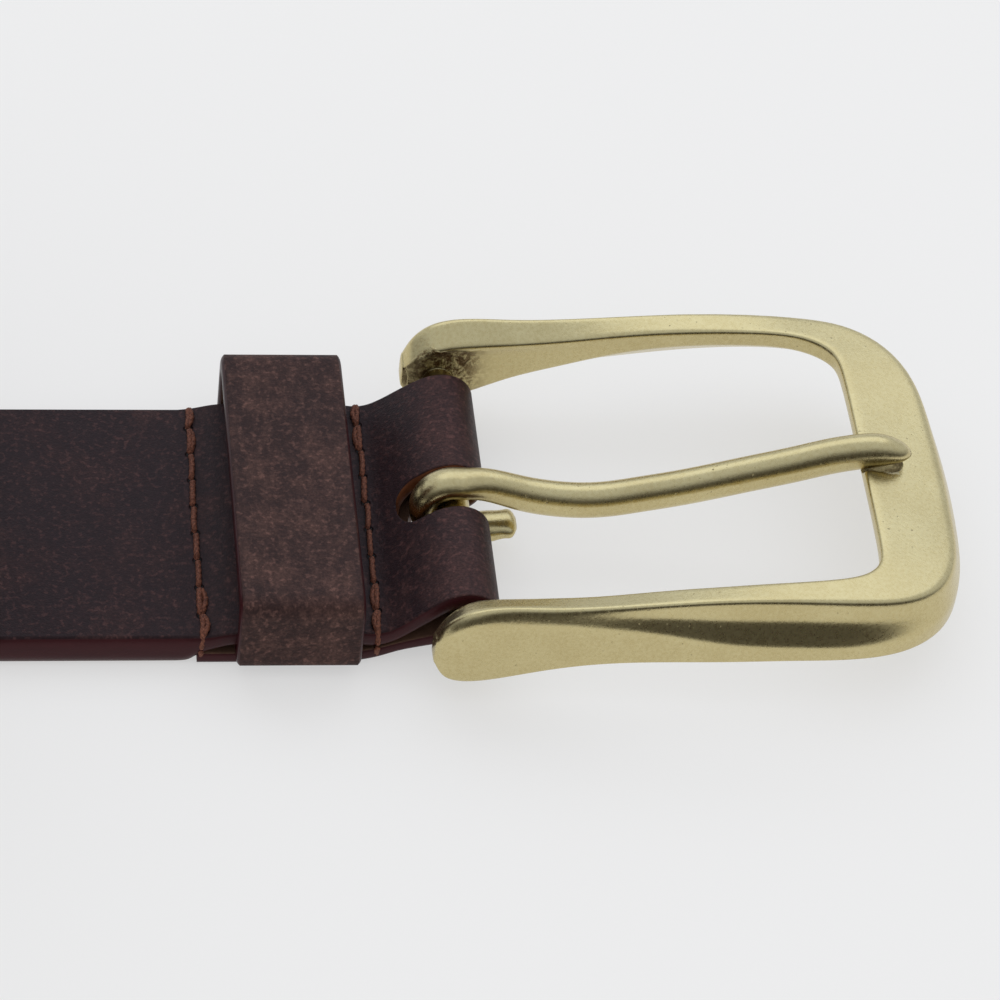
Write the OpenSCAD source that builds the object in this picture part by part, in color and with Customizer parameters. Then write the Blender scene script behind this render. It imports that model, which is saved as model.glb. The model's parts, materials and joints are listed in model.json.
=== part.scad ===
// Leather belt with a brass heel-bar buckle, its far end rolled up.
// The frame is +Z up with the floor at z = 0. The strap runs along X, and
// sub-parts are drawn from the bar axis, which lies at x = bar_x.

/* [Strap] */
// Width of the strap
strap_w = 38; // [36:0.5:40]
// Thickness of the single-ply leather
strap_t = 3.8; // [3.4:0.1:4]
// Length from the buckle bar to the tip
belt_length = 990; // [940:1:1000]
// Length from the buckle bar to the middle hole
bar_to_middle_hole = 864; // [820:1:870]
// Pitch of the five prong holes
hole_pitch = 25; // [20:1:28]
// Diameter of the prong holes
hole_d = 5; // [4:0.5:6]

/* [Roll] */
// Distance from the bar axis to the axis of the rolled end
roll_distance = 101; // [98:1:110]
// Radius to the middle of the leather in the outermost half turn
roll_radius = 38.5; // [38.5:0.1:40]
// Pitch of the turns
roll_pitch = 4.4; // [4.3:0.05:4.5]

/* [Fold and stitching] */
// Height of the bar axis above the floor
bar_z = 6.4; // [6.2:0.1:7]
// Radius of the bar
bar_r = 1.84; // [1.8:0.01:1.86]
// Leather thickness round the bar
fold_t = 2; // [1.8:0.1:2.1]
// Width of the strap at the bar
fold_w = 36.8; // [36:0.1:37.4]
// Thickness of the turned-back ply
turnback_t = 1.5; // [1.4:0.1:1.6]
// Distance from the bar axis to the front stitch row
front_row = 9.8; // [9.6:0.1:10.4]
// Distance from the bar axis to the rear stitch row
rear_row = 29.5; // [29:0.1:31]
// Pitch of the stitches
stitch_pitch = 4.35; // [4:0.05:4.5]
// Radius of the thread
thread_r = 0.4; // [0.35:0.01:0.42]

/* [Keeper] */
// Width of the keeper loop along the strap
keeper_w = 14; // [13:0.5:14.5]
// Distance from the bar axis to the front edge of the keeper
keeper_front = 11.8; // [11.8:0.1:12.2]
// Height of the top of the keeper above the floor
keeper_top = 11.4; // [11.2:0.1:12]
// Leather thickness of the keeper
keeper_t = 1.9; // [1.8:0.1:2]

/* [Buckle] */
// Radius of the prong
prong_r = 2.05; // [1.8:0.05:2.1]
// Clearance round the prong where it rests in the front rail
rest_gap = 0.35; // [0.3:0.05:0.5]

/* [Hidden] */
$fn = 64;

leather = "#4a3230";
brass = "#c8b878";
thread = "#7a4632";
steel = "#b8b8b8";

// Clearance between the bar and what turns on it
fit_gap = 0.06;
bore_r = bar_r + fit_gap;
fold_r = bore_r + fold_t;

// The frame's stations run from the back of a heel, along a rail, to the middle of the front rail.
// Inner edge of each station: x, y, lower z, upper z
inner_edge = [
  [-4.1, 21.6, 5.0, 8.0],
  [-3.0, 20.9, 3.7, 9.4],
  [-0.8, 20.4, 3.1, 11.2],
  [3.0, 20.4, 3.9, 12.0],
  [8.0, 20.6, 6.3, 12.3],
  [14.0, 20.8, 8.6, 12.8],
  [20.0, 20.9, 10.6, 13.6],
  [28.0, 20.9, 12.2, 14.4],
  [36.0, 20.6, 12.7, 14.8],
  [41.5, 20.0, 12.6, 14.8],
  [44.4, 18.8, 12.3, 14.6],
  [45.9, 17.0, 12.2, 14.5],
  [46.4, 13.8, 12.1, 14.4],
  [46.5, 7.0, 12.1, 14.3],
  [46.5, 0.0, 12.1, 14.3]
];
// Upper outer edge of each station: x, y, z
top_edge = [
  [-4.1, 23.4, 8.8],
  [-3.0, 23.6, 11.2],
  [-0.8, 23.9, 13.0],
  [3.0, 24.0, 13.9],
  [8.0, 24.0, 13.8],
  [14.0, 24.0, 13.9],
  [20.0, 24.0, 14.3],
  [28.0, 24.0, 14.8],
  [36.0, 24.0, 14.8],
  [43.0, 23.8, 14.4],
  [48.3, 22.9, 13.9],
  [52.2, 20.5, 13.3],
  [54.9, 16.0, 12.8],
  [56.0, 8.0, 12.3],
  [56.2, 0.0, 12.2]
];
// Outer wall of each station: x, y, upper z, lower z
outer_wall = [
  [-4.1, 24.0, 8.4, 5.2],
  [-3.0, 24.6, 10.0, 3.6],
  [-0.8, 24.9, 11.8, 3.0],
  [3.0, 25.0, 12.2, 3.5],
  [8.0, 25.0, 12.0, 4.7],
  [14.0, 25.1, 11.5, 5.8],
  [20.0, 25.4, 11.0, 6.4],
  [28.0, 26.0, 10.6, 7.2],
  [36.0, 26.3, 10.5, 7.7],
  [43.3, 25.9, 10.2, 7.6],
  [49.2, 24.2, 9.8, 7.2],
  [53.4, 20.9, 9.4, 6.7],
  [56.0, 15.9, 9.1, 6.3],
  [57.3, 8.2, 9.0, 6.0],
  [57.6, 0.0, 9.0, 6.0]
];
stations = len(inner_edge);
frame_front = outer_wall[stations - 1][0];

// The prong leaves the eye at its top and ends on the front rail: x, z, radius
eye_mid_r = 3.55;
eye_t = 2 * (eye_mid_r - bore_r);
eye_w = 4.4;
prong_line = [
  [0.0, 9.95, 1.65],
  [2.6, 9.85, 1.75],
  [5.2, 9.25, 1.9],
  [8.0, 8.3, 2.0],
  [11.2, 7.6, 2.05],
  [14.4, 7.3, 2.05],
  [17.8, 7.5, 2.05],
  [21.3, 8.2, 2.05],
  [25.7, 9.2, 2.05],
  [30.2, 10.45, 2.05],
  [34.6, 11.75, 2.05],
  [39.0, 13.05, 2.05],
  [43.3, 14.4, 2.05],
  [46.5, 15.05, 2.05],
  [49.0, 15.35, 1.85],
  [50.6, 15.5, 1.0]
];
tail_line = [
  [0.0, 2.85, 1.55],
  [3.0, 2.95, 1.5],
  [5.6, 3.3, 1.3],
  [7.2, 3.6, 0.6]
];

// The run rises from the floor under the roll to where its own stitches hold it up
run_z = 0.3;
run_level = -60;
strap_top = run_z + strap_t;
// Top face of the folded end, from the run to the bar: x, z
top_line = [
  [-rear_row + 0.7, strap_top],
  [-rear_row + 2.2, strap_top + 0.5],
  [-rear_row + 4.6, strap_top + 0.9],
  [-front_row - 3.2, strap_top + 0.9],
  [-front_row - 1.4, strap_top + 0.6],
  [-front_row - 0.6, 4.45],
  [-front_row + 1.2, 4.8],
  [-6.6, 6.2],
  [-4.6, 8.0],
  [-2.6, 9.55]
];
// Under face of the turned-back ply, from the bar: x, z
under_line = [
  [-2.6, 2.55],
  [-7.2, 1.9],
  [-front_row, 0.75],
  [-front_row - 3.6, run_z],
  [run_level, run_z]
];
// Angle where the fold leaves its circle
fold_start = 105;
// Open throat between the plies beside the bar
throat = [
  [0, bar_z - 1],
  [-2.6, 4.3],
  [-7.2, 3.1],
  [-8.6, 2.7],
  [-6.6, 4.1],
  [-4.6, 5.7],
  [-2.6, 7.3],
  [0, bar_z + 1]
];
// Pocket between the plies and the rows, where the keeper's lower layer lies
pocket_z = run_z + turnback_t;
pocket_h = 1.35;
pocket_back = -rear_row + 1.2;
pocket_front = -front_row - 1.2;
pocket = [
  [pocket_back - 0.6, pocket_z],
  [pocket_back, pocket_z + pocket_h],
  [pocket_front, pocket_z + pocket_h],
  [pocket_front + 0.5, pocket_z + 0.4],
  [pocket_front + 0.1, pocket_z]
];
front_row_top = 4.65;
front_row_under = 0.8;
rear_row_top = strap_top + 0.05;
stitch_holes = 8;
stitch_hole_r = thread_r + 0.15;
groove_depth = 0.9;

// The keeper's pared lower layer, its side clearance and the gap at its butted ends
lower_layer_z = pocket_z + 0.12;
lower_layer_t = 1.1;
keeper_clear = 0.35;
keeper_seam = 0.3;
keeper_foot = 0.3;
// Wire staples: radius, half the distance between them, and half the span of their legs
staple_r = 0.22;
staple_x = 3;
staple_leg = 2.8;
// Half the length of the bar, and the groove in the front rail that the prong rests in
bar_reach = 21.6;
rest_back = 14;
rest_z = 15;
rest_length = 9.5;

// Slot for the prong: how far behind the bar it ends, and its width
slot_end = 6.4;
slot_w = 5.8;

// Half turns in the rolled end, and the length of its shaped tip
half_turns = 10;
tip_length = 16;
roll_outer = roll_radius + strap_t / 2;
bar_x = (roll_distance + roll_outer - frame_front) / 2;

// Radius and centre height of half turn k; even ones climb on the left, odd ones fall on the right
function turn_r(k) = roll_radius - k * roll_pitch / 2;
function turn_z(k) = strap_t / 2 + roll_radius + (k % 2) * roll_pitch / 2;
function turn_start(k) = k == 0 ? roll_distance : turn_start(k - 1) + PI * turn_r(k - 1);
// The half turn that holds the place at a distance along the strap
function turn_at(s, k = 0) = k + 1 < half_turns && s > turn_start(k + 1) ? turn_at(s, k + 1) : k;
// Angle of that place round its centre, in the XZ plane and clockwise from the bottom
function turn_angle(s) =
  let (k = turn_at(s)) (s - turn_start(k)) / turn_r(k) * 180 / PI + (k % 2) * 180;

// One solid through a list of closed rings of points
module loft(rings) {
  count = len(rings[0]);
  last = len(rings) - 1;
  sides = [
    for (i = [0:last - 1], j = [0:count - 1], half = [0, 1])
      let (a = i * count + j, b = i * count + (j + 1) % count)
        half == 0 ? [a, b, b + count] : [a, b + count, a + count]
  ];
  caps = [[for (j = [count - 1:-1:0]) j], [for (j = [0:count - 1]) last * count + j]];
  polyhedron(points = [for (r = rings, p = r) p], faces = concat(sides, caps), convexity = 6);
}

// A round bar of changing radius along a line in the XZ plane
module swept_bar(line, sides = 16) {
  last = len(line) - 1;
  rings = [
    for (i = [0:last])
      let (
        a = line[max(i - 1, 0)],
        b = line[min(i + 1, last)],
        slope = atan2(b[1] - a[1], b[0] - a[0])
      )
        [
          for (j = [0:sides - 1])
            let (t = -360 * j / sides)
              [
                line[i][0] - line[i][2] * sin(t) * sin(slope),
                line[i][2] * cos(t),
                line[i][1] + line[i][2] * sin(t) * cos(slope)
              ]
        ]
  ];
  loft(rings);
}

// Draws a flat XZ profile as a solid of width w centred on the XZ plane
module across(w) {
  rotate([90, 0, 0]) linear_extrude(w, center = true) children();
}

// Clockwise from the bottom of a turn, as seen from the near side
module half_turn(k, from = 0, to = 180) {
  side = k % 2 == 0 ? 1 : -1;
  translate([-roll_distance, 0, turn_z(k)])
    rotate([90, 0, 0])
      rotate([0, 0, side > 0 ? 270 - to : 90 - to])
        rotate_extrude(angle = to - from, $fn = 96)
          translate([turn_r(k), 0]) square([strap_t, strap_w], center = true);
}

// A cutter that stands on the leather at a distance along the strap
module on_roll(s) {
  translate([-roll_distance, 0, turn_z(turn_at(s))])
    rotate([0, turn_angle(s), 0]) translate([0, 0, -turn_r(turn_at(s))]) children();
}

module rolled_end() {
  last = half_turns - 1;
  end_angle = (belt_length - turn_start(last)) / turn_r(last) * 180 / PI;
  for (k = [0:last - 1]) half_turn(k);
  for (k = [0:last]) turn_joint(k);
  difference() {
    half_turn(last, 0, end_angle);
    tip_cut();
  }
}

// Bridges the plane where half turn k begins
module turn_joint(k) {
  side = k % 2 == 0 ? -1 : 1;
  translate([-roll_distance, 0, turn_z(k) + side * turn_r(k)])
    cube([0.4, strap_w - 0.2, strap_t - 0.2], center = true);
}

// Takes the two corners off the end of the strap
module tip_cut() {
  on_roll(belt_length - tip_length / 2)
    translate([0, 0, -strap_t])
      for (side = [-1, 1])
        linear_extrude(2 * strap_t)
          polygon([
            [tip_length / 2, side * strap_w * 0.47],
            [-tip_length / 6, side * strap_w * 0.36],
            [-tip_length, side * strap_w * 0.1],
            [-tip_length, side * strap_w],
            [tip_length / 2, side * strap_w]
          ]);
}

module prong_holes() {
  for (i = [-2:2])
    on_roll(bar_to_middle_hole + i * hole_pitch)
      cylinder(d = hole_d, h = strap_t + 0.4, center = true);
}

// The strap's outline from above: full width, narrowing to the bar
module strap_plan() {
  polygon([
    [-roll_distance - 1, -strap_w / 2], [-front_row - 2, -strap_w / 2], [-3, -fold_w / 2], [6, -fold_w / 2],
    [6, fold_w / 2], [-3, fold_w / 2], [-front_row - 2, strap_w / 2], [-roll_distance - 1, strap_w / 2]
  ]);
}

// The strap's side profile from the roll to the fold
module strap_profile() {
  run_end = [[-roll_distance, 0], [-roll_distance, strap_t], [run_level, strap_top]];
  fold_arc = [for (t = [fold_start:-7.5:-fold_start]) [fold_r * cos(t), bar_z + fold_r * sin(t)]];
  difference() {
    polygon(concat(run_end, top_line, fold_arc, under_line));
    translate([0, bar_z]) circle(bore_r);
    polygon(throat);
    polygon(pocket);
  }
}

module stitch_cuts(x, top) {
  for (i = [0:stitch_holes - 1])
    translate([x, (i - (stitch_holes - 1) / 2) * stitch_pitch, -1])
      cylinder(r = stitch_hole_r, h = top + 2, $fn = 24);
}

// The groove under the turned-back ply that a row's lower thread lies in
module thread_groove(x, top) {
  translate([x - groove_depth / 2, -strap_w, -1]) cube([groove_depth, 2 * strap_w, 1 + top]);
}

module strap() {
  color(leather)
    translate([bar_x, 0, 0]) {
      difference() {
        intersection() {
          across(strap_w + 2) strap_profile();
          translate([0, 0, -1]) linear_extrude(30) strap_plan();
        }
        slot();
        stitch_cuts(-rear_row, 6);
        stitch_cuts(-front_row, 6);
        thread_groove(-rear_row, groove_depth);
        thread_groove(-front_row, front_row_under + groove_depth);
      }
      difference() {
        rolled_end();
        prong_holes();
      }
    }
}

// The slot that the prong works in
module slot() {
  translate([-slot_end + slot_w / 2, 0, -1]) cylinder(d = slot_w, h = 20);
  translate([-slot_end + slot_w / 2, -slot_w / 2, -1]) cube([20, slot_w, 20]);
}

function station(i) =
  [
    [outer_wall[i][0], outer_wall[i][1], outer_wall[i][3]],
    [outer_wall[i][0], outer_wall[i][1], outer_wall[i][2]],
    [top_edge[i][0], top_edge[i][1], top_edge[i][2]],
    [inner_edge[i][0], inner_edge[i][1], inner_edge[i][3]],
    [inner_edge[i][0], inner_edge[i][1], inner_edge[i][2]]
  ];
function mirrored(ring) = [for (p = ring) [p[0], -p[1], p[2]]];

module buckle_frame() {
  rings = concat(
    [for (i = [0:stations - 1]) mirrored(station(i))],
    [for (i = [stations - 2:-1:0]) station(i)]
  );
  color(brass)
    translate([bar_x, 0, 0]) {
      difference() {
        loft(rings);
        prong_rest();
      }
      translate([0, 0, bar_z]) rotate([90, 0, 0]) cylinder(r = bar_r, h = 2 * bar_reach, center = true);
    }
}

// The shallow groove in the front rail that the prong lies in
module prong_rest() {
  translate([frame_front - rest_back, 0, rest_z]) rotate([0, 90, 0])
    cylinder(r = prong_r + rest_gap, h = rest_length);
}

module prong() {
  color(brass)
    translate([bar_x, 0, 0])
      difference() {
        union() {
          swept_bar(prong_line);
          swept_bar(tail_line);
          intersection() {
            translate([0, 0, bar_z]) rotate([90, 0, 0])
              cylinder(r = eye_mid_r + eye_t / 2, h = eye_w, center = true);
            translate([-10, -eye_w, 0]) cube([10.4, 2 * eye_w, 20]);
          }
        }
        translate([0, 0, bar_z]) rotate([90, 0, 0]) cylinder(r = bore_r, h = 3 * eye_w, center = true);
      }
}

module keeper() {
  side = strap_w / 2 + keeper_clear;
  color(leather)
    translate([bar_x - keeper_front - keeper_w / 2, 0, 0])
      difference() {
        translate([-keeper_w / 2, -side - keeper_t, keeper_foot])
          cube([keeper_w, 2 * (side + keeper_t), keeper_top - keeper_foot]);
        translate([-keeper_w, -side, lower_layer_z + lower_layer_t])
          cube([2 * keeper_w, 2 * side, keeper_top - keeper_t - lower_layer_z - lower_layer_t]);
        translate([-keeper_w, -side - 0.02, -1]) cube([2 * keeper_w, 2 * side + 0.04, 1 + lower_layer_z]);
        translate([-keeper_w, -keeper_seam / 2, 0])
          cube([2 * keeper_w, keeper_seam, lower_layer_z + lower_layer_t + 0.1]);
        staples(staple_r + 0.05, 0.1);
      }
}

// Two wire staples across the butted ends of the keeper, let into its lower layer
module staples(r, extra = 0) {
  crown_z = lower_layer_z + lower_layer_t - staple_r - 0.12;
  crown_w = 2 * staple_leg + 0.4;
  for (x = [-staple_x, staple_x]) {
    translate([x, 0, crown_z]) rotate([90, 0, 0])
      cylinder(r = r, h = crown_w + extra, center = true, $fn = 24);
    translate([x - r, -(crown_w + extra) / 2, crown_z]) cube([2 * r, crown_w + extra, max(extra * 6, r)]);
    for (y = [-staple_leg, staple_leg]) translate([x, y, lower_layer_z + 0.15])
      cylinder(r = r, h = crown_z - lower_layer_z, $fn = 24);
  }
}

module keeper_staple() {
  color(steel)
    translate([bar_x - keeper_front - keeper_w / 2, 0, 0]) staples(staple_r);
}

// One row of stitches on the top face, with its legs halfway down the holes
module top_thread(x, top, depth) {
  reach = strap_w / 2 + thread_r;
  color(thread)
    translate([bar_x + x, 0, 0]) {
      translate([0, 0, top + thread_r]) rotate([90, 0, 0])
        cylinder(r = thread_r, h = 2 * reach, center = true, $fn = 24);
      for (i = [0:stitch_holes - 1])
        translate([0, (i - (stitch_holes - 1) / 2) * stitch_pitch, top - depth])
          cylinder(r = thread_r, h = depth + thread_r, $fn = 24);
    }
}

// The matching row under the turned-back ply, sunk in its groove
module bobbin_thread(x, under, depth) {
  color(thread)
    translate([bar_x + x, 0, 0]) {
      translate([0, 0, under + thread_r])
        rotate([90, 0, 0]) cylinder(r = thread_r, h = strap_w - 1, center = true, $fn = 24);
      for (i = [0:stitch_holes - 1])
        translate([0, (i - (stitch_holes - 1) / 2) * stitch_pitch, under + thread_r])
          cylinder(r = thread_r, h = depth, $fn = 24);
    }
}

module rear_top_thread() { top_thread(-rear_row, rear_row_top, 1.6); }
module rear_bobbin_thread() { bobbin_thread(-rear_row, 0, 1.6); }
module front_top_thread() { top_thread(-front_row, front_row_top, 1.4); }
module front_bobbin_thread() { bobbin_thread(-front_row, front_row_under, 1.6); }

strap();
buckle_frame();
prong();
keeper();
keeper_staple();
rear_top_thread();
rear_bobbin_thread();
front_top_thread();
front_bobbin_thread();
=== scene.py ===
"""A leather belt with a brass heel-bar buckle: the buckle end lies flat and the far end is rolled."""

import json

import bmesh
import bpy
import numpy as np
from mathutils import Matrix, Vector


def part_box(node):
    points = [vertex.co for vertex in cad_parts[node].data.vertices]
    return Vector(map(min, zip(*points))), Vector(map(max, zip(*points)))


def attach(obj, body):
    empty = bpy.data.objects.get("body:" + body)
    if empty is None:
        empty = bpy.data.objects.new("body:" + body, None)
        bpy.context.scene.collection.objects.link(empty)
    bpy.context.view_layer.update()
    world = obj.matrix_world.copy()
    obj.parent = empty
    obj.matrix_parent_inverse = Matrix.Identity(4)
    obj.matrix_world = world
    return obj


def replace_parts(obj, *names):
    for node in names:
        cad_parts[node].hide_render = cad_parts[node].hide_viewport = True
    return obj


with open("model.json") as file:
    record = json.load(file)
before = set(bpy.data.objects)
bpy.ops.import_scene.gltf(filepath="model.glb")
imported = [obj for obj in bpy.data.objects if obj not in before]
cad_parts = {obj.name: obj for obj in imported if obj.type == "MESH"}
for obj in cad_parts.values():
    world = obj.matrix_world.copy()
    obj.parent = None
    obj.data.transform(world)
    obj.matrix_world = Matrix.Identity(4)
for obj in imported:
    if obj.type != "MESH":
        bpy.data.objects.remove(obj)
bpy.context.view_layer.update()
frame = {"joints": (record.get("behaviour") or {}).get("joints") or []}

# Every length below is in millimetres from the bar's axis, which is where the buckle and the prong hinge.
MM = 0.001
bar_x, _, bar_z = next(np.array(j["pos_m"]) / MM for j in frame["joints"] if j["name"] == "buckle_swing")


# ---------------------------------------------------------------- the view
# A long lens looks down at the folded end and the buckle from the near side, a little from the left.
camera_place = np.array([-64.8, -373.3, 367.3])
camera_pitch, camera_pan = np.radians(43.96), np.radians(7.7)
level = np.array([1.0, 0.0, 0.0])
ahead = np.array([0.0, np.cos(camera_pitch), -np.sin(camera_pitch)])
camera_up = np.cross(level, ahead)
camera_right = np.cos(camera_pan) * level - np.sin(camera_pan) * ahead
camera_back = -(np.cos(camera_pan) * ahead + np.sin(camera_pan) * level)
camera = bpy.data.objects.new("camera", bpy.data.cameras.new("camera"))
camera.data.sensor_width = 36
camera.data.lens = 164.6
camera.data.clip_start, camera.data.clip_end = 0.01, 20
bpy.context.scene.collection.objects.link(camera)
camera.matrix_world = Matrix.Translation(Vector((camera_place + [bar_x, 0, 0]) * MM)) @ Matrix(
    np.column_stack([camera_right, camera_up, camera_back]).tolist()
).to_4x4()
bpy.context.scene.camera = camera


# ---------------------------------------------------------------- floor and light
# A pale matt table under a wide overhead softbox. The studio is pale above and behind and dim in front.
class Shade:
    """A socket of a shader's tree. Arithmetic on it adds Math nodes."""

    def __init__(self, tree, socket):
        self.tree, self.socket = tree, socket

    def node(self, kind, inputs=(), out=0, **settings):
        """A node of that kind with its settings. Its inputs are {name or index: value or Shade}."""
        made = self.tree.nodes.new(kind)
        for key, value in settings.items():
            setattr(made, key, value)
        for key, value in dict(inputs).items():
            if isinstance(value, Shade):
                self.tree.links.new(value.socket, made.inputs[key])
            else:
                made.inputs[key].default_value = value
        return Shade(self.tree, made.outputs[out])

    def maths(self, operation, *values):
        return self.node("ShaderNodeMath", enumerate(values), operation=operation)

    def __add__(self, other):
        return self.maths("ADD", self, other)

    def __sub__(self, other):
        return self.maths("SUBTRACT", self, other)

    def __rsub__(self, other):
        return self.maths("SUBTRACT", other, self)

    def __mul__(self, other):
        return self.maths("MULTIPLY", self, other)

    def __truediv__(self, other):
        return self.maths("DIVIDE", self, other)

    __radd__, __rmul__ = __add__, __mul__

    def ease(self, low, high):
        """0 below low, 1 above high and smooth between them."""
        settings = {"From Min": low, "From Max": high, "Value": self}
        return self.node("ShaderNodeMapRange", settings, interpolation_type="SMOOTHSTEP")

    def mix(self, a, b):
        """Colour a where this is 0 and colour b where it is 1."""
        ends = {6: a if isinstance(a, Shade) else (*a, 1), 7: b if isinstance(b, Shade) else (*b, 1)}
        return self.node("ShaderNodeMix", {0: self, **ends}, out=2, data_type="RGBA")

    def noise(self, scale, detail=2.0, roughness=0.5, stretch=None):
        """Noise with about scale cells to the metre, at Object coordinates."""
        place = self.place()
        if stretch:
            place = self.node("ShaderNodeMapping", {"Vector": place, "Scale": stretch})
        settings = {"Vector": place, "Scale": scale, "Detail": detail, "Roughness": roughness}
        return self.node("ShaderNodeTexNoise", settings)

    def place(self):
        return self.node("ShaderNodeTexCoord", out="Object")

    def attribute(self, name):
        return self.node("ShaderNodeAttribute", out="Fac", attribute_name=name)

    def bump(self, height, distance, strength):
        settings = {"Height": height, "Distance": distance, "Strength": strength}
        return self.node("ShaderNodeBump", settings)


def material(name, **fixed):
    """A new material and a Shade in its tree. Fixed values go on the shader's own sockets."""
    made = bpy.data.materials.new(name)
    made.use_nodes = True
    shader = made.node_tree.nodes["Principled BSDF"]
    for key, value in fixed.items():
        shader.inputs[key.replace("_", " ")].default_value = value
    return made, Shade(made.node_tree, None), shader


def feed(shader, **inputs):
    """Links each Shade to the shader's socket of that name."""
    for key, value in inputs.items():
        shader.id_data.links.new(value.socket, shader.inputs[key.replace("_", " ")])


def softbox(name, place, target, size, power, colour):
    """A rectangular area light that faces the target."""
    data = bpy.data.lights.new(name, "AREA")
    data.shape, data.size, data.size_y = "RECTANGLE", size[0], size[1]
    data.energy, data.color = power, colour
    light = bpy.data.objects.new(name, data)
    light.location = place
    light.rotation_euler = (Vector(target) - Vector(place)).to_track_quat("-Z", "Y").to_euler()
    bpy.context.scene.collection.objects.link(light)


bpy.context.scene.view_settings.view_transform = "Standard"
world = bpy.data.worlds.new("studio")
world.use_nodes = True
bpy.context.scene.world = world
world_light = world.node_tree.nodes["Background"]
sky = Shade(world.node_tree, None)
direction = sky.node("ShaderNodeTexCoord", out="Generated")
back_and_up = (0.0, 0.62, 0.78)
directions = {0: direction, 1: back_and_up}
aloft = sky.node("ShaderNodeVectorMath", directions, out="Value", operation="DOT_PRODUCT")
# Matt surfaces are lit evenly from all round. Polished ones see a dim room below the pale ceiling.
dim_room, pale_ceiling, even_light = (0.06, 0.055, 0.05), (0.68, 0.72, 0.80), (0.9, 0.9, 0.9)
seen_by_matt = sky.node("ShaderNodeLightPath", out="Is Diffuse Ray")
studio_sky = seen_by_matt.mix(aloft.ease(-0.2, 0.6).mix(dim_room, pale_ceiling), even_light)
world.node_tree.links.new(studio_sky.socket, world_light.inputs["Color"])
softbox("overhead_softbox", (0.1, 0.75, 0.9), (0.04, 0, 0), (1.5, 0.8), 2.6, (0.84, 0.89, 1.0))

floor_mesh = bpy.data.meshes.new("floor")
floor_mesh.from_pydata([(-3, -3, 0), (3, -3, 0), (3, 3, 0), (-3, 3, 0)], [], [(0, 1, 2, 3)])
floor = bpy.data.objects.new("floor", floor_mesh)
bpy.context.scene.collection.objects.link(floor)
floor_finish, _, _ = material(
    "pale_table", Base_Color=(0.36, 0.36, 0.36, 1), Roughness=0.9, Specular_IOR_Level=0.1,
    Emission_Color=(1, 1, 1, 1), Emission_Strength=0.5,
)
floor_mesh.materials.append(floor_finish)


# ---------------------------------------------------------------- strap
# One strip of thick waxed leather. Its end is pared thinner, turned back round the bar and stitched under
# itself. The cut edges are bevelled, dyed and burnished. The far end is rolled with the grain inside.
def resampled(points, step):
    """The polyline through the points, cut into about equal steps."""
    points = np.asarray(points, float)
    along = np.r_[0, np.cumsum(np.linalg.norm(np.diff(points[:, :2], axis=0), axis=1))]
    at = np.linspace(0, along[-1], int(along[-1] / step) + 2)
    return np.column_stack([np.interp(at, along, column) for column in points.T])


def softened(rows, passes, closed=False):
    """Each row moved toward the mean of its neighbours, again and again, which rounds the corners."""
    rows = np.array(rows, float)
    for _ in range(passes):
        if closed:
            rows = (np.roll(rows, 1, 0) + 2 * rows + np.roll(rows, -1, 0)) / 4
        else:
            rows[1:-1] = (rows[:-2] + 2 * rows[1:-1] + rows[2:]) / 4
    return rows


def piece_from_rings(name, skins, body, *finishes):
    """One piece from skins over rings of points, in millimetres from the bar's axis. Each skin is a dict of
    its rings (stations, points, 3), its attributes, one value for each point, and its ends: "capped",
    "open", "joined" to each other, or capped only at the "start" or "finish". Skins that share an edge are
    merged there."""
    corners, faces, count, values = [], [], 0, {}
    for skin in skins:
        stations, around = skin["rings"].shape[:2]
        a = np.arange(stations * around).reshape(stations, around) + count
        here, beyond = (a, np.roll(a, -1, 0)) if skin.get("ends") == "joined" else (a[:-1], a[1:])
        sides = np.stack([here, np.roll(here, -1, 1), np.roll(beyond, -1, 1), beyond], -1)
        faces += sides.reshape(-1, 4).tolist()
        if skin.get("ends", "capped") in ("capped", "start"):
            faces.append(a[0][::-1].tolist())
        if skin.get("ends", "capped") in ("capped", "finish"):
            faces.append(a[-1].tolist())
        corners.append(skin["rings"].reshape(-1, 3))
        for key in ("edge", "flesh", "bent", "raw", "rough_cast"):
            field = np.broadcast_to(skin.get(key, 0.0), (stations, around))
            values.setdefault(key, []).append(field.ravel())
        count += stations * around
    mesh = bpy.data.meshes.new(name)
    mesh.from_pydata(np.vstack(corners) * MM + [bar_x * MM, 0, 0], [], faces)
    mesh.polygons.foreach_set("use_smooth", np.ones(len(faces), bool))
    for key, parts in values.items():
        field = np.concatenate(parts).astype(np.float32)
        if field.any():
            mesh.attributes.new(key, "FLOAT", "POINT").data.foreach_set("value", field)
    if len(skins) > 1:
        merged = bmesh.new()
        merged.from_mesh(mesh)
        bmesh.ops.remove_doubles(merged, verts=merged.verts, dist=1e-6)
        merged.to_mesh(mesh)
        merged.free()
    turned_outward(mesh)
    for finish in finishes:
        mesh.materials.append(finish)
    piece = bpy.data.objects.new(name, mesh)
    bpy.context.scene.collection.objects.link(piece)
    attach(piece, body)
    return piece


def turned_outward(mesh):
    """Turns every face over if the volume, the sum of p . (q x r) / 6 over the triangles, is negative."""
    mesh.calc_loop_triangles()
    corners = np.zeros(len(mesh.vertices) * 3)
    mesh.vertices.foreach_get("co", corners)
    triangles = np.zeros(len(mesh.loop_triangles) * 3, int)
    mesh.loop_triangles.foreach_get("vertices", triangles)
    p, q, r = corners.reshape(-1, 3)[triangles.reshape(-1, 3)].transpose(1, 0, 2)
    if np.einsum("ij,ij->i", p, np.cross(q, r)).sum() < 0:
        mesh.flip_normals()


# Where points lie across a face, from edge to edge: close together at the edges, so the dye ends sharply.
half_columns = np.r_[0, 0.012, np.linspace(0.12, 0.88, 7), 0.988, 1]
full_columns = np.r_[half_columns, 1 + half_columns[1:]] / 2


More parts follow.
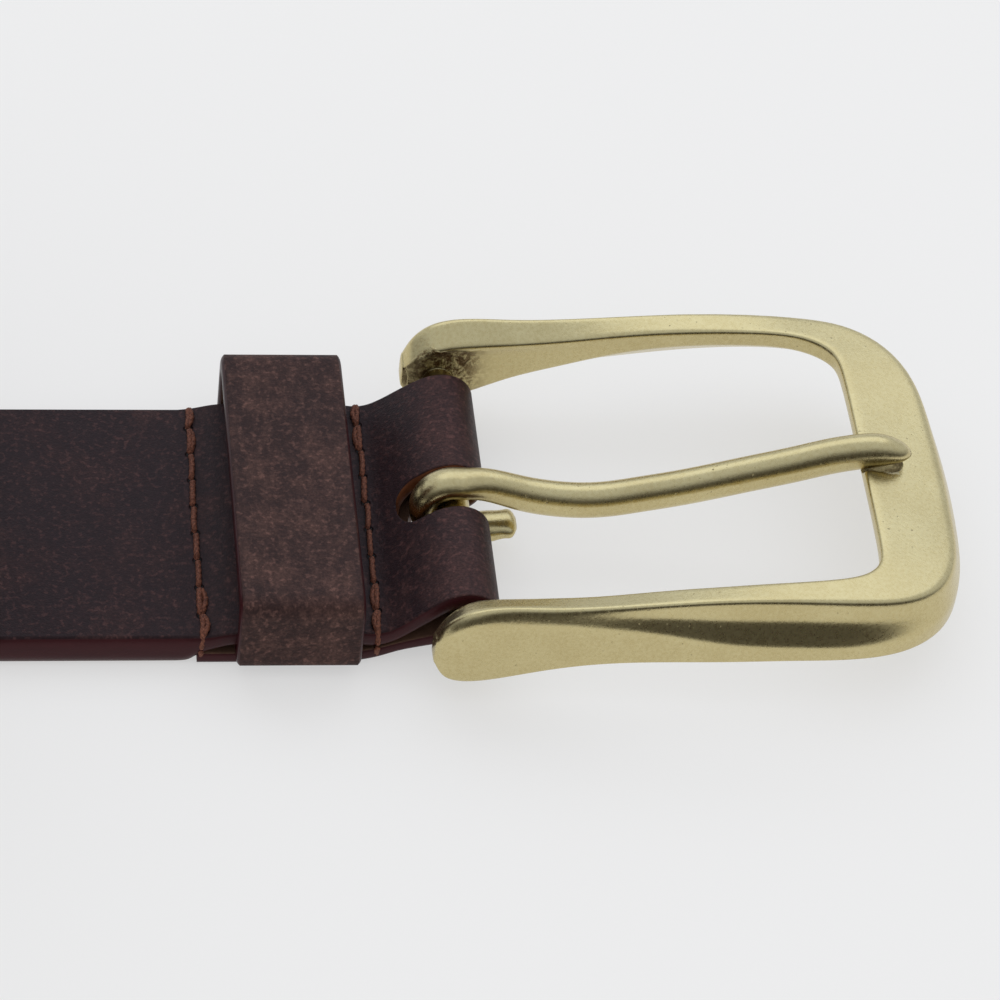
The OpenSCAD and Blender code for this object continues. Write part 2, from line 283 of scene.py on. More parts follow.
def strip_skin(outer, inner, low, high, low_bevel, high_bevel, axis, columns=full_columns, sides=11, **more):
    """The skin round a strip whose faces follow two lines and whose edges lie at low and high along the
    axis. It goes across one face, round an edge, back and round the other edge. An edge bulges as
    |2 d - 1| ** 3.2, with d the share of the thickness, so the faces end a bevel short of it."""
    across = len(columns)
    drop = np.linspace(1, 0, sides)[1:-1]
    bulge = np.abs(2 * drop - 1) ** 3.2
    toward = np.r_[columns, np.ones(sides - 2), columns[::-1], np.zeros(sides - 2)]
    face = np.r_[np.ones(across), drop, np.zeros(across), drop[::-1]]
    inset = np.r_[np.ones(across), bulge, np.ones(across), bulge[::-1]]
    edge = np.r_[np.zeros(across), np.ones(sides - 2), np.zeros(across), np.ones(sides - 2)]
    first = low[:, None] + inset * low_bevel[:, None]
    last = high[:, None] - inset * high_bevel[:, None]
    rings = np.empty((len(outer), len(toward), 3))
    rings[..., axis] = first + (last - first) * toward
    across_axis = [i for i in range(3) if i != axis]
    rings[..., across_axis] = inner[:, None] + face[:, None] * (outer - inner)[:, None]
    return {"rings": rings, "edge": edge, "flesh": face < 0.5, **more}


strap_w, strap_t, belt_length = 38.0, 3.8, 990.0
fold_w, bar_r, fold_gap, fold_t = 36.8, 1.84, 0.08, 1.95
rear_row, front_row = -29.5, -9.8
roll_x, roll_radius, roll_pitch, half_turns = -101.0, 38.5, 4.4, 10
run_z, run_level = 0.3, -60.0

# Outer and inner face of the turned-back ply, from its end to the fold: x, z, x, z
under_ply = [
    (-30.0, 0.3, -30.0, 1.75),
    (-22.0, 0.3, -22.0, 1.78),
    (-14.4, 0.3, -14.2, 1.8),
    (-11.6, 0.5, -11.4, 2.1),
    (-9.8, 0.85, -9.8, 2.35),
    (-7.4, 1.8, -7.8, 2.95),
    (-4.6, 2.25, -4.8, 3.7),
    (-2.4, 2.5, -2.4, 4.2),
]
# The same for the top ply, from the fold to the full thickness of the run
top_ply = [
    (-2.5, 9.6, -1.9, 7.75),
    (-4.6, 8.0, -3.9, 6.25),
    (-6.6, 6.25, -6.1, 4.6),
    (-8.4, 4.95, -8.1, 3.1),
    (-9.8, 4.6, -9.8, 2.5),
    (-11.2, 4.75, -11.2, 2.75),
    (-13.0, 5.0, -13.0, 3.2),
    (-24.6, 5.0, -24.6, 3.2),
    (-27.2, 4.65, -27.0, 2.9),
    (-28.8, 4.15, -28.9, 1.95),
    (-30.2, 4.1, -30.1, 1.82),
    (-30.6, 4.1, -30.2, 0.36),
    (-32.0, 4.1, -31.6, 0.3),
    (run_level, run_z + strap_t, run_level, run_z),
    (roll_x, strap_t, roll_x, 0.0),
]
turn = np.radians(np.linspace(-105, 105, 29))
fold_inner, fold_outer = bar_r + fold_gap, bar_r + fold_gap + fold_t
round_bar = np.column_stack([
    fold_outer * np.cos(turn), fold_outer * np.sin(turn) + bar_z,
    fold_inner * np.cos(turn), fold_inner * np.sin(turn) + bar_z,
])
folded_end = softened(resampled(np.vstack([under_ply, round_bar, top_ply]), 0.3), 14)

# The slot that the prong works in was punched before the end was folded, with a round end in each ply. Its
# half width at a distance d from an end is sqrt(r ** 2 - (r - d) ** 2), and stations crowd together there.
slot_end, under_slot_end, slot_r = -6.4, -4.9, 2.9
middle = (folded_end[:, :2] + folded_end[:, 2:]) / 2
stops = np.r_[0, np.cumsum(np.linalg.norm(np.diff(middle, axis=0), axis=1))]
slot_start, slot_finish = stops[middle[:, 0] > under_slot_end][0], stops[middle[:, 0] > slot_end][-1]
round_end = slot_r * (1 - np.cos(np.radians(np.linspace(0, 90, 12))))
cuts = np.r_[slot_start + round_end, slot_finish - round_end]
from_cuts = np.minimum(np.abs(stops - slot_start - slot_r / 2), np.abs(stops - slot_finish + slot_r / 2))
clear = from_cuts > slot_r / 2 + 0.05
stations = np.sort(np.r_[stops[clear], cuts])
folded_end = np.column_stack([np.interp(stations, stops, column) for column in folded_end.T])
into_slot = np.clip(np.minimum(stations - slot_start, slot_finish - stations), 0, slot_r)
slot_gap = np.sqrt(slot_r**2 - (slot_r - into_slot) ** 2)

turn_radius = roll_radius - np.arange(half_turns) * roll_pitch / 2
turn_height = strap_t / 2 + roll_radius + (np.arange(half_turns) % 2) * roll_pitch / 2
turn_start = -roll_x + np.r_[0, np.cumsum(np.pi * turn_radius[:-1])]


def on_roll(along):
    """Middle of the leather and the inward direction at distances along the strap. The roll is made of half
    turns, each smaller by half the pitch than the one before, about two centres in turn."""
    k = np.clip(np.searchsorted(turn_start, along, side="right") - 1, 0, half_turns - 1)
    angle = (along - turn_start[k]) / turn_radius[k] + (k % 2) * np.pi
    inward = np.column_stack([np.sin(angle), np.cos(angle)])
    centre = np.column_stack([np.full(len(along), roll_x), turn_height[k]])
    return centre - inward * turn_radius[k][:, None], inward


along_roll = np.linspace(-roll_x, belt_length, 620)[1:]
roll_middle, roll_inward = on_roll(along_roll)
rolled_end = np.hstack([roll_middle + roll_inward * strap_t / 2, roll_middle - roll_inward * strap_t / 2])
faces_of_strap = np.vstack([folded_end, rolled_end])
is_folded = np.arange(len(faces_of_strap)) < len(folded_end)
from_bar = np.r_[-folded_end[:, 0], along_roll]
half_width = np.where(is_folded, np.interp(from_bar, [3, 11.8], [fold_w / 2, strap_w / 2]), strap_w / 2)
# The tip is cut to a blunt rounded point.
tip_length = 16
to_tip = np.clip((belt_length - from_bar) / tip_length, 0, 1)
half_width = half_width * np.where(is_folded, 1, np.sqrt(np.clip(1 - (1 - to_tip) ** 2.4, 0.0004, 1)))
thickness = np.linalg.norm(faces_of_strap[:, :2] - faces_of_strap[:, 2:], axis=1)
bevel = np.minimum(0.16 * thickness, 0.5)
# Bending and handling have rubbed the leather paler over the bar and over the pocket.
over_bar = np.exp(-(((folded_end[:, 0].max() + from_bar - 4.0) / 3.8) ** 2))
over_pocket = 0.3 * np.exp(-(((from_bar - 20) / 9) ** 2))
bent = np.where(is_folded, over_bar + over_pocket, 0.12)


def strap_skin(rows, *edges, **more):
    """The skin of some stations of the strap. The edges are the last four lines that strip_skin asks for."""
    outer, inner = faces_of_strap[rows, :2], faces_of_strap[rows, 2:]
    return strip_skin(outer, inner, *(edge[rows] for edge in edges), axis=1, bent=bent[rows, None], **more)


def leather(name, deep, warm, worn_share, gloss):
    """Waxed full-grain leather: fine pores, a cloudy bloom of wax, and warm where it is bent or rubbed and
    where a paler side is painted on as light.
    """
    finish, at, shader = material(name, Specular_IOR_Level=0.16)
    cloud = at.noise(170, 4, 0.6)
    pores = at.noise(2600, 3, 0.7)
    fibres = at.noise(900, 3, 0.65, stretch=(1.0, 0.35, 1.0))
    specks = at.noise(1500, 2, 0.5).ease(0.52, 0.68)
    bent = at.attribute("bent")
    wear_and_painted_light = (cloud.ease(0.42, 0.68) * 0.55 + fibres.ease(0.4, 0.7) * 0.45) * worn_share + bent * 0.55
    body = wear_and_painted_light.ease(0.0, 1.1).mix(deep, warm)
    speckled = (specks * (0.25 + wear_and_painted_light * 0.5)).mix(body, tuple(min(1, c * 1.9) for c in warm))
    dark_pores = pores.ease(0.60, 0.42) * 0.45
    grain = dark_pores.mix(speckled, tuple(c * 0.45 for c in deep))
    edge_mask = at.attribute("edge").ease(0.35, 0.75)
    painted = at.noise(500, 3, 0.6, stretch=(0.25, 1, 1)).mix((0.022, 0.0035, 0.005), (0.05, 0.010, 0.012))
    flesh = at.attribute("flesh").ease(0.5, 0.9)
    suede = at.noise(1200, 4, 0.7).mix((0.050, 0.026, 0.018), (0.115, 0.062, 0.040))
    bare = at.noise(900, 3).mix((0.05, 0.016, 0.009), (0.17, 0.058, 0.022))
    dyed = at.attribute("raw").ease(0.3, 0.8).mix(painted, bare)
    coloured = edge_mask.mix(flesh.mix(grain, suede), dyed)
    # The stitch holes are painted near black, a painted shade in each hole, and the bump dents them.
    holes = stitch_hole_shade_and_dents(at)
    height = pores * 0.5 + fibres * 0.35 + at.noise(5200, 2) * 0.25
    feed(
        shader,
        Base_Color=holes.mix(coloured, (0.004, 0.003, 0.003)),
        Roughness=(gloss + cloud * 0.16 + flesh * 0.3) * (1 - edge_mask) + edge_mask * 0.34,
        Normal=at.bump(height * (1 - edge_mask * 0.7) - holes * 2.0, 0.00022, 0.55),
    )
    return finish


stitch_pitch, stitch_holes = 4.35, 8


def stitch_hole_shade_and_dents(at):
    """1 in a stitch hole, where shade is painted and the leather is dented: near a row's line and near a
    whole number of pitches from the first hole.
    """
    split = at.node("ShaderNodeSeparateXYZ", {0: at.place()})
    x, y = (Shade(at.tree, split.socket.node.outputs[axis]) for axis in ("X", "Y"))
    row_end = stitch_holes / 2 * stitch_pitch
    beyond = y.maths("ABSOLUTE", y).ease((row_end - 0.2 * stitch_pitch) * MM, row_end * MM)
    across = (y / (stitch_pitch * MM)).maths("FRACT", y / (stitch_pitch * MM))
    across = (across - 0.5) * stitch_pitch
    marks = None
    for row in (rear_row, front_row):
        aside = (x - (bar_x + row) * MM) / MM
        distance = (aside * aside + across * across).maths("SQRT", aside * aside + across * across)
        mark = distance.ease(0.62, 0.40)
        marks = mark if marks is None else marks + mark
    return (marks * (1 - beyond)).ease(0, 1)


strap_finish = leather("strap_leather", (0.0185, 0.0065, 0.0085), (0.060, 0.025, 0.0225), 0.6, 0.42)
first_cut, last_cut = np.flatnonzero(slot_gap > 0)[[0, -1]] + [-1, 1]
strap_end = len(faces_of_strap)
gap = np.r_[slot_gap, np.zeros(strap_end - len(slot_gap))]
slot_bevel = np.minimum(gap / 3, 0.25)
far_gap, near_gap = 0.92 * gap, 1.28 * gap
in_slot = slice(first_cut, last_cut + 1)
# Beside the slot the strap is two strips, and the walls that face the slot are bare.
count, wall = len(half_columns), 9
far_wall = np.r_[np.zeros(count), np.ones(wall), np.zeros(count + wall)]
near_wall = np.r_[np.zeros(2 * count + wall), np.ones(wall)]
half = {"columns": half_columns, "ends": "open"}
skins = [
    strap_skin(slice(0, first_cut + 1), -half_width, half_width, bevel, bevel, ends="start"),
    strap_skin(slice(last_cut, strap_end), -half_width, half_width, bevel, bevel, ends="finish"),
    strap_skin(in_slot, -half_width, -near_gap, bevel, slot_bevel, raw=far_wall, **half),
    strap_skin(in_slot, far_gap, half_width, slot_bevel, bevel, raw=near_wall, **half),
]
strap = piece_from_rings("belt_strap", skins, "strap_body", strap_finish)
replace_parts(strap, "strap")


# ---------------------------------------------------------------- keeper
# A loop of the same leather, rubbed paler. It goes through the pocket between the two plies.
keeper_w, keeper_front = 14.0, -11.8
# Outer and inner face of half the loop, from the middle of its top round to its underside: y, z, y, z
half_loop = np.array([
    (0.0, 11.4, 0.0, 9.55),
    (12.0, 11.4, 12.0, 9.55),
    (19.6, 11.38, 18.2, 9.5),
    (20.8, 10.95, 19.1, 9.1),
    (21.25, 9.8, 19.36, 8.2),
    (21.25, 6.6, 19.36, 6.6),
    (21.25, 3.0, 19.36, 3.6),
    (21.15, 2.0, 19.3, 3.15),
    (20.4, 1.45, 18.9, 3.04),
    (18.8, 1.95, 18.4, 3.02),
    (12.0, 1.95, 12.0, 3.0),
    (0.0, 1.95, 0.0, 3.0),
])
other_half = half_loop[-2:0:-1] * [-1, 1, -1, 1]
loop = resampled(np.vstack([half_loop, other_half, half_loop[:1]]), 0.25)[:-1]
loop = softened(loop, 5, closed=True)
back_edge, front_edge = np.full(len(loop), keeper_front - keeper_w), np.full(len(loop), keeper_front)
keeper_bevel = np.full(len(loop), 0.42)
# Toward its near side the loop is painted paler still, a painted light.
painted_light_near_side = np.clip((4 - loop[:, :1]) / 30, 0, 1)
keeper_skin = strip_skin(
    loop[:, :2], loop[:, 2:], back_edge, front_edge, keeper_bevel, keeper_bevel,
    axis=0, columns=half_columns, ends="joined", bent=0.28 + 0.12 * painted_light_near_side,
)
keeper_finish = leather("keeper_leather", (0.031, 0.0135, 0.0125), (0.086, 0.042, 0.034), 1.0, 0.5)
keeper = piece_from_rings("keeper_loop", [keeper_skin], "keeper_body", keeper_finish)
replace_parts(keeper, "keeper")


# ---------------------------------------------------------------- keeper staples
# Two steel wire staples hold the butted ends of the keeper inside the pocket.
def tube_rings(path, radius, up=(0, 1, 0), around=14, width=None, lobes=0, twist=0.0, lobe_depth=0.0):
    """Rings round a path, square to it: circles, or ellipses where a width is given. Lobes swell them by
    1 + depth cos(lobes (angle - twist distance)), so they wind round the path like the plies of a thread."""
    path = np.asarray(path, float)
    ahead_of = np.gradient(path, axis=0)
    ahead_of /= np.linalg.norm(ahead_of, axis=1)[:, None]
    side = np.tile(np.asarray(up, float), (len(path), 1))
    side -= np.einsum("ij,ij->i", side, ahead_of)[:, None] * ahead_of
    side /= np.linalg.norm(side, axis=1)[:, None]
    third = np.cross(ahead_of, side)
    angle = np.linspace(0, 2 * np.pi, around, endpoint=False)
    run = np.r_[0, np.cumsum(np.linalg.norm(np.diff(path, axis=0), axis=1))]
    swell = 1 + lobe_depth * np.cos(lobes * (angle[None, :] - twist * run[:, None]))
    radius = np.broadcast_to(radius, len(path))
    width = radius if width is None else np.broadcast_to(width, len(path))
    across = (np.cos(angle)[None, :] * swell * width[:, None])[..., None] * side[:, None, :]
    along = (np.sin(angle)[None, :] * swell * radius[:, None])[..., None] * third[:, None, :]
    return path[:, None, :] + across + along


def domed(path, radius, steps=4):
    """The path and radius with short rings added at both ends, which close them as domes."""
    path, radius = np.asarray(path, float), np.broadcast_to(radius, len(path)).astype(float)
    angle = np.radians(np.linspace(86, 0, steps, endpoint=False))
    start = (path[0] - path[1]) / np.linalg.norm(path[0] - path[1])
    finish = (path[-1] - path[-2]) / np.linalg.norm(path[-1] - path[-2])
    head = path[0] + start * (np.sin(angle) * radius[0])[:, None]
    tail = (path[-1] + finish * (np.sin(angle) * radius[-1])[:, None])[::-1]
    start_radius, finish_radius = radius[0] * np.cos(angle), radius[-1] * np.cos(angle)
    return np.vstack([head, path, tail]), np.r_[start_radius, radius, finish_radius[::-1]]


steel, at_steel, steel_shader = material("steel_wire", Metallic=1.0, Base_Color=(0.55, 0.55, 0.57, 1))
feed(steel_shader, Roughness=at_steel.noise(3000) * 0.25 + 0.2)
staple_low, staple_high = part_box("keeper_staple")
wire_r = 0.2
half_span, leg_y = 3.0, 2.8
crown = staple_high.z / MM - wire_r - 0.03
foot = staple_low.z / MM + wire_r
staples = []
for x in (-half_span, half_span):
    centre = keeper_front - keeper_w / 2 + x
    path = softened(resampled([(-leg_y, foot), (-leg_y, crown), (leg_y, crown), (leg_y, foot)], 0.08), 5)
    path = np.column_stack([np.full(len(path), centre), path])
    rings = tube_rings(*domed(path, wire_r), up=(1, 0, 0), around=10)
    staples.append({"rings": rings})
staple = piece_from_rings("keeper_staples", staples, "keeper_body", steel)
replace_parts(staple, "keeper_staple")


# ---------------------------------------------------------------- stitching
# Two rows of waxed thread, three plies twisted. The last stitches at both ends are sewn twice and wrap round
# the edges.
thread_finish, at_thread, thread_shader = material("waxed_thread", Specular_IOR_Level=0.3)
fibre = at_thread.noise(3800, 3, 0.7)
feed(
    thread_shader,
    Base_Color=fibre.ease(0.3, 0.75).mix((0.070, 0.020, 0.011), (0.235, 0.085, 0.048)),
    Roughness=0.55 + fibre * 0.25,
    Normal=at_thread.bump(fibre, 0.00015, 0.8),
)
thread_r = 0.32


def stitch_row(name, row, top, side, seed):
    """A row on the face at height top: each stitch rises from its hole, lies on the leather and dips into
    the next. side is 1 above the belt and -1 under it."""
    rng = np.random.default_rng(seed)
    holes = (np.arange(stitch_holes) - (stitch_holes - 1) / 2) * stitch_pitch
    edge_y = strap_w / 2 - 0.25
    inner_spans = list(zip(holes[:-1], holes[1:]))
    edge_spans = [(-edge_y, holes[0]), (holes[-1], edge_y)]
    sewn_twice = [(a, b) for a, b in inner_spans if abs(a + b) > 2 * holes[-1] - 2.2 * stitch_pitch]
    beside = 0.55
    spans = [(*span, 0.0) for span in inner_spans + edge_spans]
    spans += [(*span, beside) for span in sewn_twice + edge_spans]
    away_from_keeper = 1 if row == rear_row else -1
    made = []
    for start, stop, offset in spans:
        t = np.linspace(0, 1, 30)
        wraps = abs(start) > holes[-1] + 0.1 or abs(stop) > holes[-1] + 0.1
        lift = np.clip(np.minimum(t, 1 - t) / 0.16, 0, 1)
        lift = lift * (2 - lift)
        bow = rng.uniform(-0.14, 0.14) + offset * away_from_keeper * 0.9
        x = row + (t - 0.5) * rng.uniform(0.10, 0.30) + bow * np.sin(np.pi * t)
        y = start + (stop - start) * t
        sunk = 0.95 - 0.35 * (offset > 0)
        z = top + side * (thread_r * sunk * lift - 0.85 * (1 - lift))
        if wraps:
            outer = t if abs(stop) > abs(start) else 1 - t
            over = np.clip((outer - 0.8) / 0.2, 0, 1)
            z = top + side * (thread_r * 0.9 - 1.6 * over**2) - side * 0.8 * (1 - lift) * (outer < 0.5)
            y = y + np.sign(start + stop) * thread_r * 0.5 * over
        path, radius = domed(softened(np.column_stack([x, y, z]), 2), thread_r * rng.uniform(0.92, 1.05), 3)
        rings = tube_rings(path, radius, up=(1, 0, 0), around=12, lobes=3, twist=2.4, lobe_depth=0.13)
        made.append({"rings": rings})
    row_piece = piece_from_rings(name, made, "strap_body", thread_finish)
    return row_piece


for name, node, row, top, side, seed in (
    ("rear_top_stitches", "rear_top_thread", rear_row, 4.12, 1, 3),
    ("front_top_stitches", "front_top_thread", front_row, 4.68, 1, 5),
    ("rear_under_stitches", "rear_bobbin_thread", rear_row, 0.70, -1, 7),
    ("front_under_stitches", "front_bobbin_thread", front_row, 1.15, -1, 9),
):
    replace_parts(stitch_row(name, row, top, side, seed), node)


# ---------------------------------------------------------------- buckle frame
# Cast brass, tumbled to a satin. Two rails end in heels that hold the bar, and the front rail slopes out.
# Stations run from the back of a heel along a rail to the middle of the front: x, y, lower z, upper z
inner_edge = np.array([
    (-4.1, 21.6, 5.0, 8.0), (-3.0, 20.9, 3.7, 9.4), (-0.8, 20.4, 3.1, 11.2), (3.0, 20.4, 3.9, 12.0),
    (8.0, 20.6, 6.3, 12.3), (14.0, 20.8, 8.6, 12.8), (20.0, 20.9, 10.6, 13.6), (28.0, 20.9, 12.2, 14.4),
    (36.0, 20.6, 12.7, 14.8), (41.5, 20.0, 12.6, 14.8), (44.4, 18.8, 12.3, 14.6), (45.9, 17.0, 12.2, 14.5),
    (46.4, 13.8, 12.1, 14.4), (46.5, 7.0, 12.1, 14.3), (46.5, 0.0, 12.1, 14.3),
])
# Crest of the top face: x, y, z
crest = np.array([
    (-4.1, 23.4, 8.8), (-3.0, 23.6, 11.2), (-0.8, 23.9, 13.0), (3.0, 24.0, 13.9),
    (8.0, 24.0, 13.8), (14.0, 24.0, 13.9), (20.0, 24.0, 14.3), (28.0, 24.0, 14.8),
    (36.0, 24.0, 14.8), (43.0, 23.8, 14.4), (48.3, 22.9, 13.9), (52.2, 20.5, 13.3),
    (54.9, 16.0, 12.8), (56.0, 8.0, 12.3), (56.2, 0.0, 12.2),
])
# Outer wall: x, y, upper z, lower z
outer_wall = np.array([
    (-4.1, 24.0, 8.4, 5.2), (-3.0, 24.6, 10.0, 3.6), (-0.8, 24.9, 11.8, 3.0), (3.0, 25.0, 12.2, 3.5),
    (8.0, 25.0, 12.0, 4.7), (14.0, 25.1, 11.5, 5.8), (20.0, 25.4, 11.0, 6.4), (28.0, 26.0, 9.9, 7.0),
    (36.0, 26.25, 9.6, 7.4), (43.3, 25.9, 9.4, 7.3), (49.2, 24.2, 9.4, 7.0), (53.4, 20.9, 9.4, 6.7),
    (56.0, 15.9, 9.1, 6.3), (57.3, 8.2, 9.0, 6.0), (57.6, 0.0, 9.0, 6.0),
])
# How deep the outer face is scooped between the crest and the wall, and the inner face below its edge
scoop = np.array([0, 0, 0, 0, 0, 0.1, 0.35, 0.6, 0.65, 0.5, 0.2, 0, 0, 0, 0])
recess = np.array([0, 0.4, 0.9, 0.9, 0.7, 0.4, 0.2, 0, 0, 0, 0, 0, 0, 0, 0])


def spline(knots, values, at):
    """Natural cubic spline: the smoothest curve through the values at the knots, read at some places."""
    knots, values = np.asarray(knots, float), np.asarray(values, float)
    gap, inner = np.diff(knots), np.arange(1, len(knots) - 1)
    system = np.eye(len(knots))
    system[inner, inner - 1] = gap[:-1]
    system[inner, inner] = 2 * (gap[:-1] + gap[1:])
    system[inner, inner + 1] = gap[1:]
    slope = np.diff(values, axis=0) / gap[:, None]
    bends = np.zeros_like(values)
    bends[1:-1] = 6 * np.diff(slope, axis=0)
    bends = np.linalg.solve(system, bends)
    k = np.clip(np.searchsorted(knots, at, side="right") - 1, 0, len(knots) - 2)
    t, h = (at - knots[k])[:, None], gap[k][:, None]
    rate = slope[k] - h * (2 * bends[k] + bends[k + 1]) / 6
    return values[k] + t * (rate + t * (bends[k] / 2 + t * (bends[k + 1] - bends[k]) / (6 * h)))


def brass(name, rough=0.23, dulled=0.0):
    """Satin brass: a fine tumbled speckle, a few casting pits and a brown film in the hollows."""
    finish, at, shader = material(name, Metallic=1.0)
    speckle = at.noise(2400, 3, 0.65)
    cloud = at.noise(120, 3, 0.55)
    pits = at.noise(2600, 1, 0.4).ease(0.72, 0.80) * cloud.ease(0.5, 0.6) * 0.6
    tone = (speckle * 0.6 + cloud * 0.4).ease(0.3, 0.7).mix((0.525, 0.435, 0.215), (0.63, 0.545, 0.295))
    film = at.attribute("rough_cast").ease(0.1, 0.9) + dulled
    cast = at.noise(900, 4, 0.7)
    tone = (film * cast.ease(0.62, 0.45)).mix(tone, (0.13, 0.075, 0.028))
    feed(
        shader,
        Base_Color=pits.mix(tone, (0.16, 0.10, 0.04)),
        Roughness=rough + speckle * 0.10 + film * 0.25,
        Normal=at.bump(speckle * 0.12 - pits * 0.6 + film * cast * 5.0, 0.00018, 0.7),
    )
    return finish


def cut(piece, tool, operation):
    """Applies a Boolean of the piece with the tool, and removes the tool."""
    change = piece.modifiers.new("cut", "BOOLEAN")
    change.object, change.operation, change.solver = tool, operation, "EXACT"
    change.material_mode = "TRANSFER"
    bpy.context.view_layer.update()
    evaluated = piece.evaluated_get(bpy.context.evaluated_depsgraph_get())
    mesh = bpy.data.meshes.new_from_object(evaluated)
    piece.modifiers.clear()
    piece.data = mesh
    bpy.data.objects.remove(tool)


def frame_rings(per_station=9, around=96):
    """Rings round the frame: at each place a closed section through the edges above, its corners softened.
    The half that runs from the far heel to the front is mirrored for the near side."""
    outward = outer_wall[:, :2] - inner_edge[:, :2]
    outward /= np.linalg.norm(outward, axis=1)[:, None]
    facet_middle = (crest[:, :2] + outer_wall[:, :2]) / 2 - outward * scoop[:, None]
    undercut = inner_edge[:, :2] + outward * recess[:, None]
    lines = [
        np.column_stack([outer_wall[:, :2], outer_wall[:, 3]]),
        outer_wall[:, :3],
        np.column_stack([facet_middle, (crest[:, 2] + outer_wall[:, 2]) / 2]),
        crest,
        np.column_stack([inner_edge[:, :2], inner_edge[:, 3]]),
        np.column_stack([undercut, inner_edge[:, 3] - 1.5]),
        np.column_stack([undercut, inner_edge[:, 2]]),
    ]
    mirrored = [np.vstack([line, (line * [1, -1, 1])[-2::-1]]) for line in lines]
    knots = np.r_[0, np.cumsum(np.linalg.norm(np.diff(mirrored[3], axis=0), axis=1))]
    spans = len(knots) - 1
    at = np.interp(np.linspace(0, spans, spans * per_station + 1), np.arange(spans + 1), knots)
    corners = np.stack([spline(knots, line, at) for line in mirrored], axis=1)
    loop = np.concatenate([corners, corners[:, :1]], axis=1)
    steps = np.linalg.norm(np.diff(loop, axis=1), axis=2)
    lengths = np.concatenate([np.zeros((len(at), 1)), np.cumsum(steps, axis=1)], axis=1)
    rings = np.empty((len(at), around, 3))
    for i in range(len(at)):
        where = np.linspace(0, lengths[i, -1], around, endpoint=False)
        rings[i] = np.column_stack([np.interp(where, lengths[i], loop[i, :, k]) for k in range(3)])
        rings[i] = softened(rings[i], 6, closed=True)
    return rings


def rounded_heel(ring, outward=np.array([-0.3, 0, 0])):
    """Rings that close a heel as a dome: each smaller than the last and a little farther out."""
    centre = ring.mean(axis=0)
    dome = np.radians(np.linspace(80, 0, 7, endpoint=False))
    return np.stack([centre + (ring - centre) * np.cos(a) + outward * np.sin(a) for a in dome])


frame_skin = frame_rings()
far_heel, near_heel = rounded_heel(frame_skin[0]), rounded_heel(frame_skin[-1])[::-1]
frame_skin = np.concatenate([far_heel, frame_skin, near_heel])
# The inner faces of the heels are left as they came from the mould.
off_middle = np.abs(frame_skin[..., 1])
inner_face = (off_middle < 21.4) * (frame_skin[..., 2] < 11.5)
cast_patch = inner_face * np.exp(-(((frame_skin[..., 0] - 0.5) / 4.5) ** 2)) * (off_middle > 18)
brass_finish = brass("satin_brass")
notch_finish = brass("notch_brass", 0.36, 0.6)
casting = {"rings": frame_skin, "rough_cast": cast_patch}
buckle = piece_from_rings("buckle_frame_casting", [casting], "buckle_body", brass_finish, notch_finish)
bar_reach = 22.3
bar_path = np.column_stack([np.zeros(40), np.linspace(-bar_reach, bar_reach, 40), np.full(40, bar_z)])
bar_skin = {"rings": tube_rings(bar_path, bar_r, up=(1, 0, 0), around=40)}
cut(buckle, piece_from_rings("bar_tool", [bar_skin], "buckle_body", brass_finish), "UNION")
# The prong's tip rests in a notch in the front rail.
notch_path = np.column_stack([np.linspace(43.6, 49.8, 12), np.zeros(12), np.full(12, 14.9)])
notch_skin = {"rings": tube_rings(*domed(notch_path, 2.4), around=40)}
cut(buckle, piece_from_rings("notch_tool", [notch_skin], "buckle_body", notch_finish), "DIFFERENCE")
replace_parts(buckle, "buckle_frame")


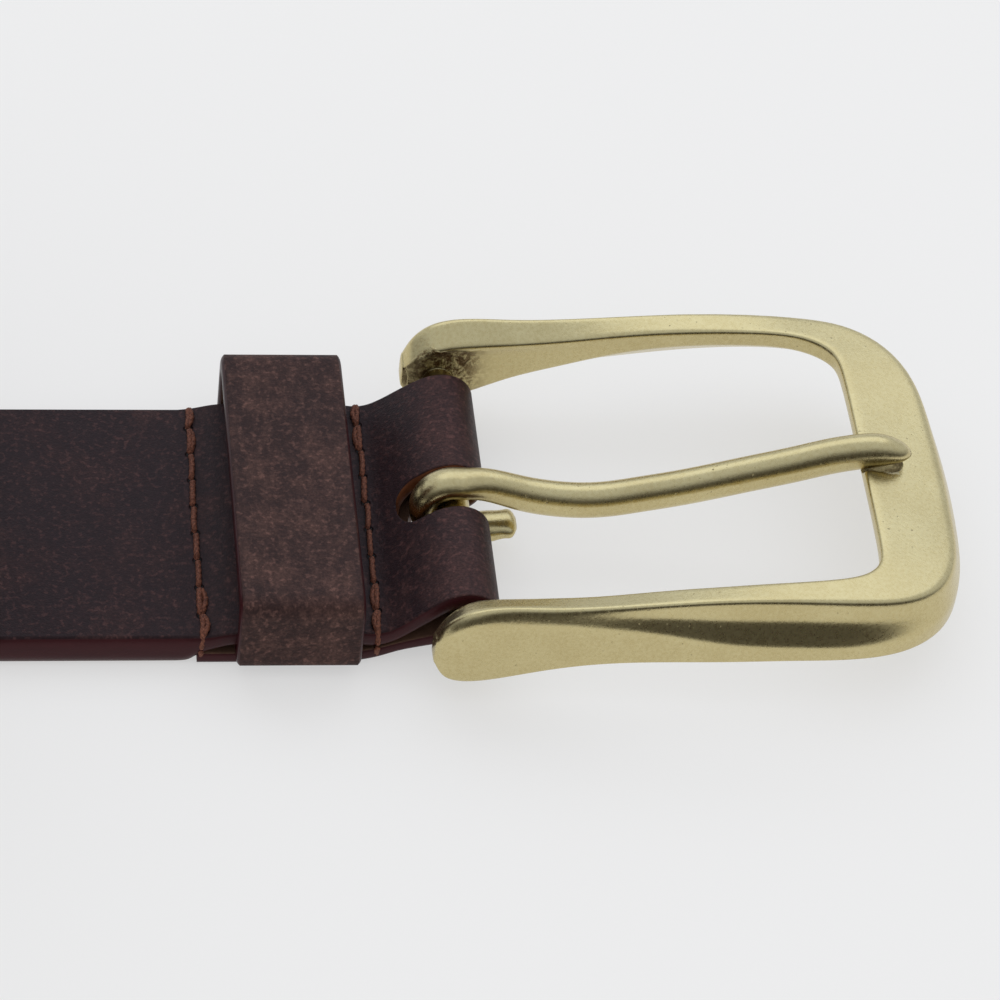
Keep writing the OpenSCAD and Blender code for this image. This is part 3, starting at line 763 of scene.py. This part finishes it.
# ---------------------------------------------------------------- prong
# Forged brass rod, bent round the bar into an eye with a short tail, then swept down and up to the front
# rail, where it ends in a bevelled tip.
# Tail, eye and shank: x, z, half thickness, half width
tail = [
    (7.5, 3.6, 0.35, 1.0), (7.2, 3.6, 0.75, 1.7), (6.2, 3.5, 1.15, 2.1),
    (4.6, 3.2, 1.4, 2.15), (3.0, 2.95, 1.5, 2.15),
]
eye_r = 3.55
around_bar = np.radians(np.arange(-100, -281, -20))
eye = [(eye_r * np.cos(a), bar_z + eye_r * np.sin(a), 1.55, 2.15) for a in around_bar]
shank = [
    (2.6, 9.85, 1.75, 2.0), (5.2, 9.25, 1.9, 2.0), (8.0, 8.3, 2.0, 2.05), (11.2, 7.6, 2.05, 2.05),
    (14.4, 7.3, 2.05, 2.05), (17.8, 7.5, 2.05, 2.05), (21.3, 8.2, 2.05, 2.05), (25.7, 9.2, 2.05, 2.05),
    (30.2, 10.45, 2.05, 2.05), (34.6, 11.75, 2.05, 2.05), (39.0, 13.05, 2.05, 2.05),
    (43.3, 14.4, 2.05, 2.05), (46.5, 15.05, 2.0, 2.05), (48.8, 15.25, 1.75, 1.95),
    (50.4, 15.1, 1.25, 1.65), (51.5, 14.9, 0.75, 1.1), (52.1, 14.75, 0.3, 0.5),
]
prong_line = np.array(tail + eye + shank)
knots = np.r_[0, np.cumsum(np.linalg.norm(np.diff(prong_line[:, :2], axis=0), axis=1))]
line = spline(knots, prong_line, np.linspace(0, knots[-1], 260))
path = np.column_stack([line[:, 0], np.zeros(len(line)), line[:, 1]])
half_thick, half_wide = np.maximum(line[:, 2], 0.2), np.maximum(line[:, 3], 0.3)
prong_rings = tube_rings(path, half_thick, up=(0, 1, 0), around=40, width=half_wide)
worn_eye = 0.25 * np.exp(-(((prong_rings[..., 0] - 1) / 4) ** 2))
forging = {"rings": prong_rings, "rough_cast": worn_eye}
prong = piece_from_rings("prong_forging", [forging], "prong_body", brass_finish)
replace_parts(prong, "prong")


# ---------------------------------------------------------------- prong holes
# Five round holes for the prong, punched square through the leather near the tip, 25 mm apart.
hole_r, middle_hole, hole_pitch = 2.5, 864, 25.0
reach = 2.15
punches = []
for centre, inward in zip(*on_roll(middle_hole + hole_pitch * np.arange(-2, 3))):
    ends = np.stack([centre - inward * reach, centre + inward * reach])
    punch = tube_rings(np.column_stack([ends[:, 0], np.zeros(2), ends[:, 1]]), hole_r, around=32)
    punches.append({"rings": punch})
cut(strap, piece_from_rings("punches", punches, "strap_body", strap_finish), "DIFFERENCE")
